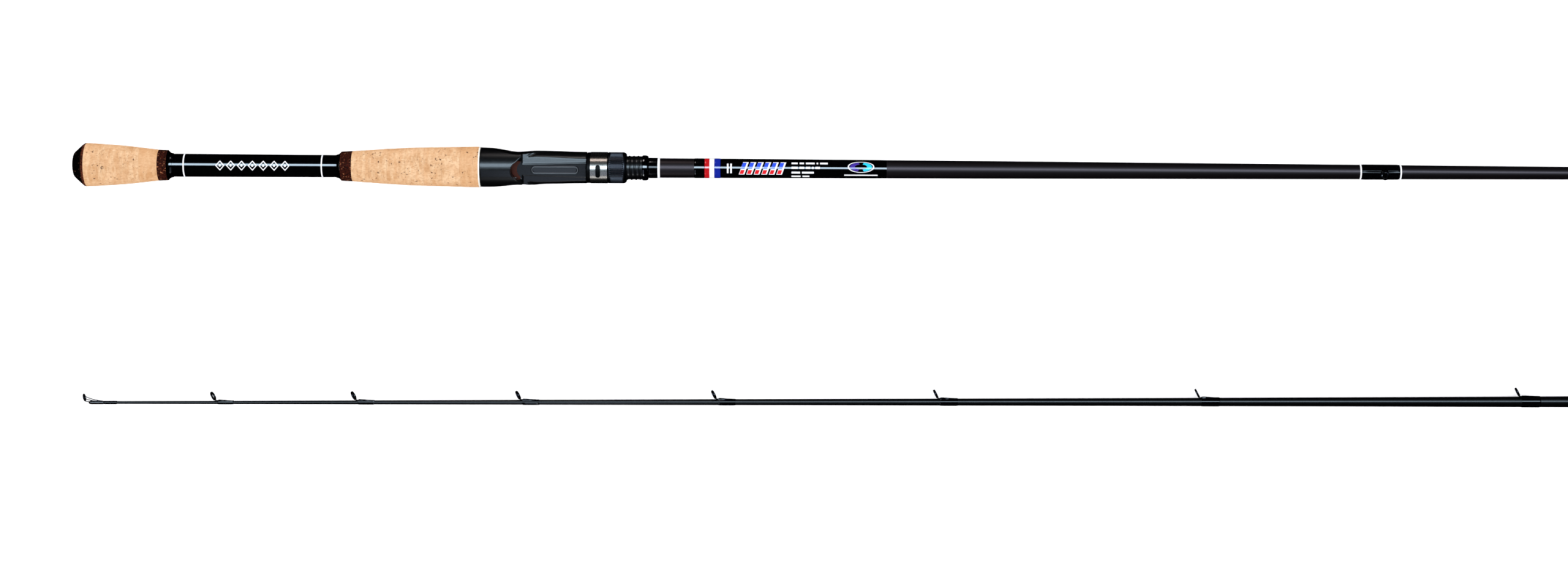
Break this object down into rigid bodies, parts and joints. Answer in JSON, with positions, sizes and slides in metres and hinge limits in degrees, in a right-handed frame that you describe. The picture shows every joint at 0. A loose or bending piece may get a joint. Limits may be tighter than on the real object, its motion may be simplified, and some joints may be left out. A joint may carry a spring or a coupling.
{
  "type": "casting rod",
  "caption": "Two-section casting rod with cork split grips, trigger reel seat with screw hood, tapered graphite blank and small line guides, laid apart side by side.",
  "frame": {"origin": "centre of the butt cap's end face, on the butt section's axis", "axes": "+X along the butt section from butt to ferrule; +Z the side the reel sits on; the tip section lies at -Y with its guides towards +Y"},
  "size_m": [1.2015, 0.2038, 0.0504],
  "materials": {
    "cap_composite": "matte speckled",
    "cork": "natural cork, sanded",
    "burl_cork": "dark composite cork",
    "gloss_black": "gloss",
    "thread_black": "thread under clear gloss coat",
    "white_trim": "gloss",
    "cream_trim": "satin",
    "seat_black": "satin gloss",
    "seat_brown": "satin",
    "seat_panel": "satin",
    "arbor_foam": "matte",
    "graphite": "satin graphite",
    "spigot_graphite": "ground graphite",
    "band_red": "gloss",
    "band_white": "gloss",
    "band_blue": "gloss",
    "guide_metal": "black plated",
    "guide_ceramic": "polished ceramic",
    "hood_metal": "satin",
    "hood_black": "satin",
    "nut_black": "satin black"
  },
  "bodies": {
    "butt_section": {"butt_cap": "cap_composite", "rear_cork_rings": "cork", "rear_burl_ring": "burl_cork", "rear_check": "gloss_black", "rear_trim_ring": "white_trim", "front_trim_ring": "white_trim", "grip_check": "gloss_black", "grip_burl_ring": "burl_cork", "main_cork_rings": "cork", "seat_trim_ring": "cream_trim", "reel_seat": "seat_black", "fixed_hood_liner": "seat_brown", "seat_panel": "seat_panel", "seat_arbors": "arbor_foam", "seat_collar": "gloss_black", "butt_blank": "graphite", "spigot": "spigot_graphite", "seat_winding": "thread_black", "seat_winding_trim": "white_trim", "black_band": "gloss_black", "red_band": "band_red", "white_band": "band_white", "blue_band": "band_blue", "stripper_frame": "guide_metal", "stripper_ring": "guide_ceramic", "stripper_winding": "thread_black", "stripper_trims": "white_trim", "butt_ferrule_winding": "thread_black"},
    "hood": {"moving_hood": "hood_metal", "hood_liner": "hood_black"},
    "nut": {"lock_nut": "nut_black"},
    "tip_section": {"tip_blank": "graphite", "tip_ferrule_winding": "thread_black", "guide_1_frame": "guide_metal", "guide_1_ring": "guide_ceramic", "guide_1_winding": "thread_black", "guide_2_frame": "guide_metal", "guide_2_ring": "guide_ceramic", "guide_2_winding": "thread_black", "guide_3_frame": "guide_metal", "guide_3_ring": "guide_ceramic", "guide_3_winding": "thread_black", "guide_4_frame": "guide_metal", "guide_4_ring": "guide_ceramic", "guide_4_winding": "thread_black", "guide_5_frame": "guide_metal", "guide_5_ring": "guide_ceramic", "guide_5_winding": "thread_black", "guide_6_frame": "guide_metal", "guide_6_ring": "guide_ceramic", "guide_6_winding": "thread_black", "guide_7_frame": "guide_metal", "guide_7_ring": "guide_ceramic", "guide_7_winding": "thread_black", "tip_top_frame": "guide_metal", "tip_top_ring": "guide_ceramic", "tip_top_winding": "thread_black"}
  },
  "joints": [
    {"name": "hood_slide", "type": "slide", "parent": "butt_section", "child": "hood", "axis": [1, 0, 0], "range_m": [0, 0.011]},
    {"name": "nut_turn", "type": "hinge", "parent": "hood", "child": "nut", "pos_m": [0.392, 0, 0], "axis": [1, 0, 0], "range_deg": [0, 1250]},
    {"name": "tip_section_lift", "type": "slide", "parent": "butt_section", "child": "tip_section", "axis": [0, 0, 1], "range_m": [0, 0.2]}
  ],
  "couplings": [
    {"joint": "nut_turn", "follows": "hood_slide", "rad_per_m": 1963.5}
  ]
}
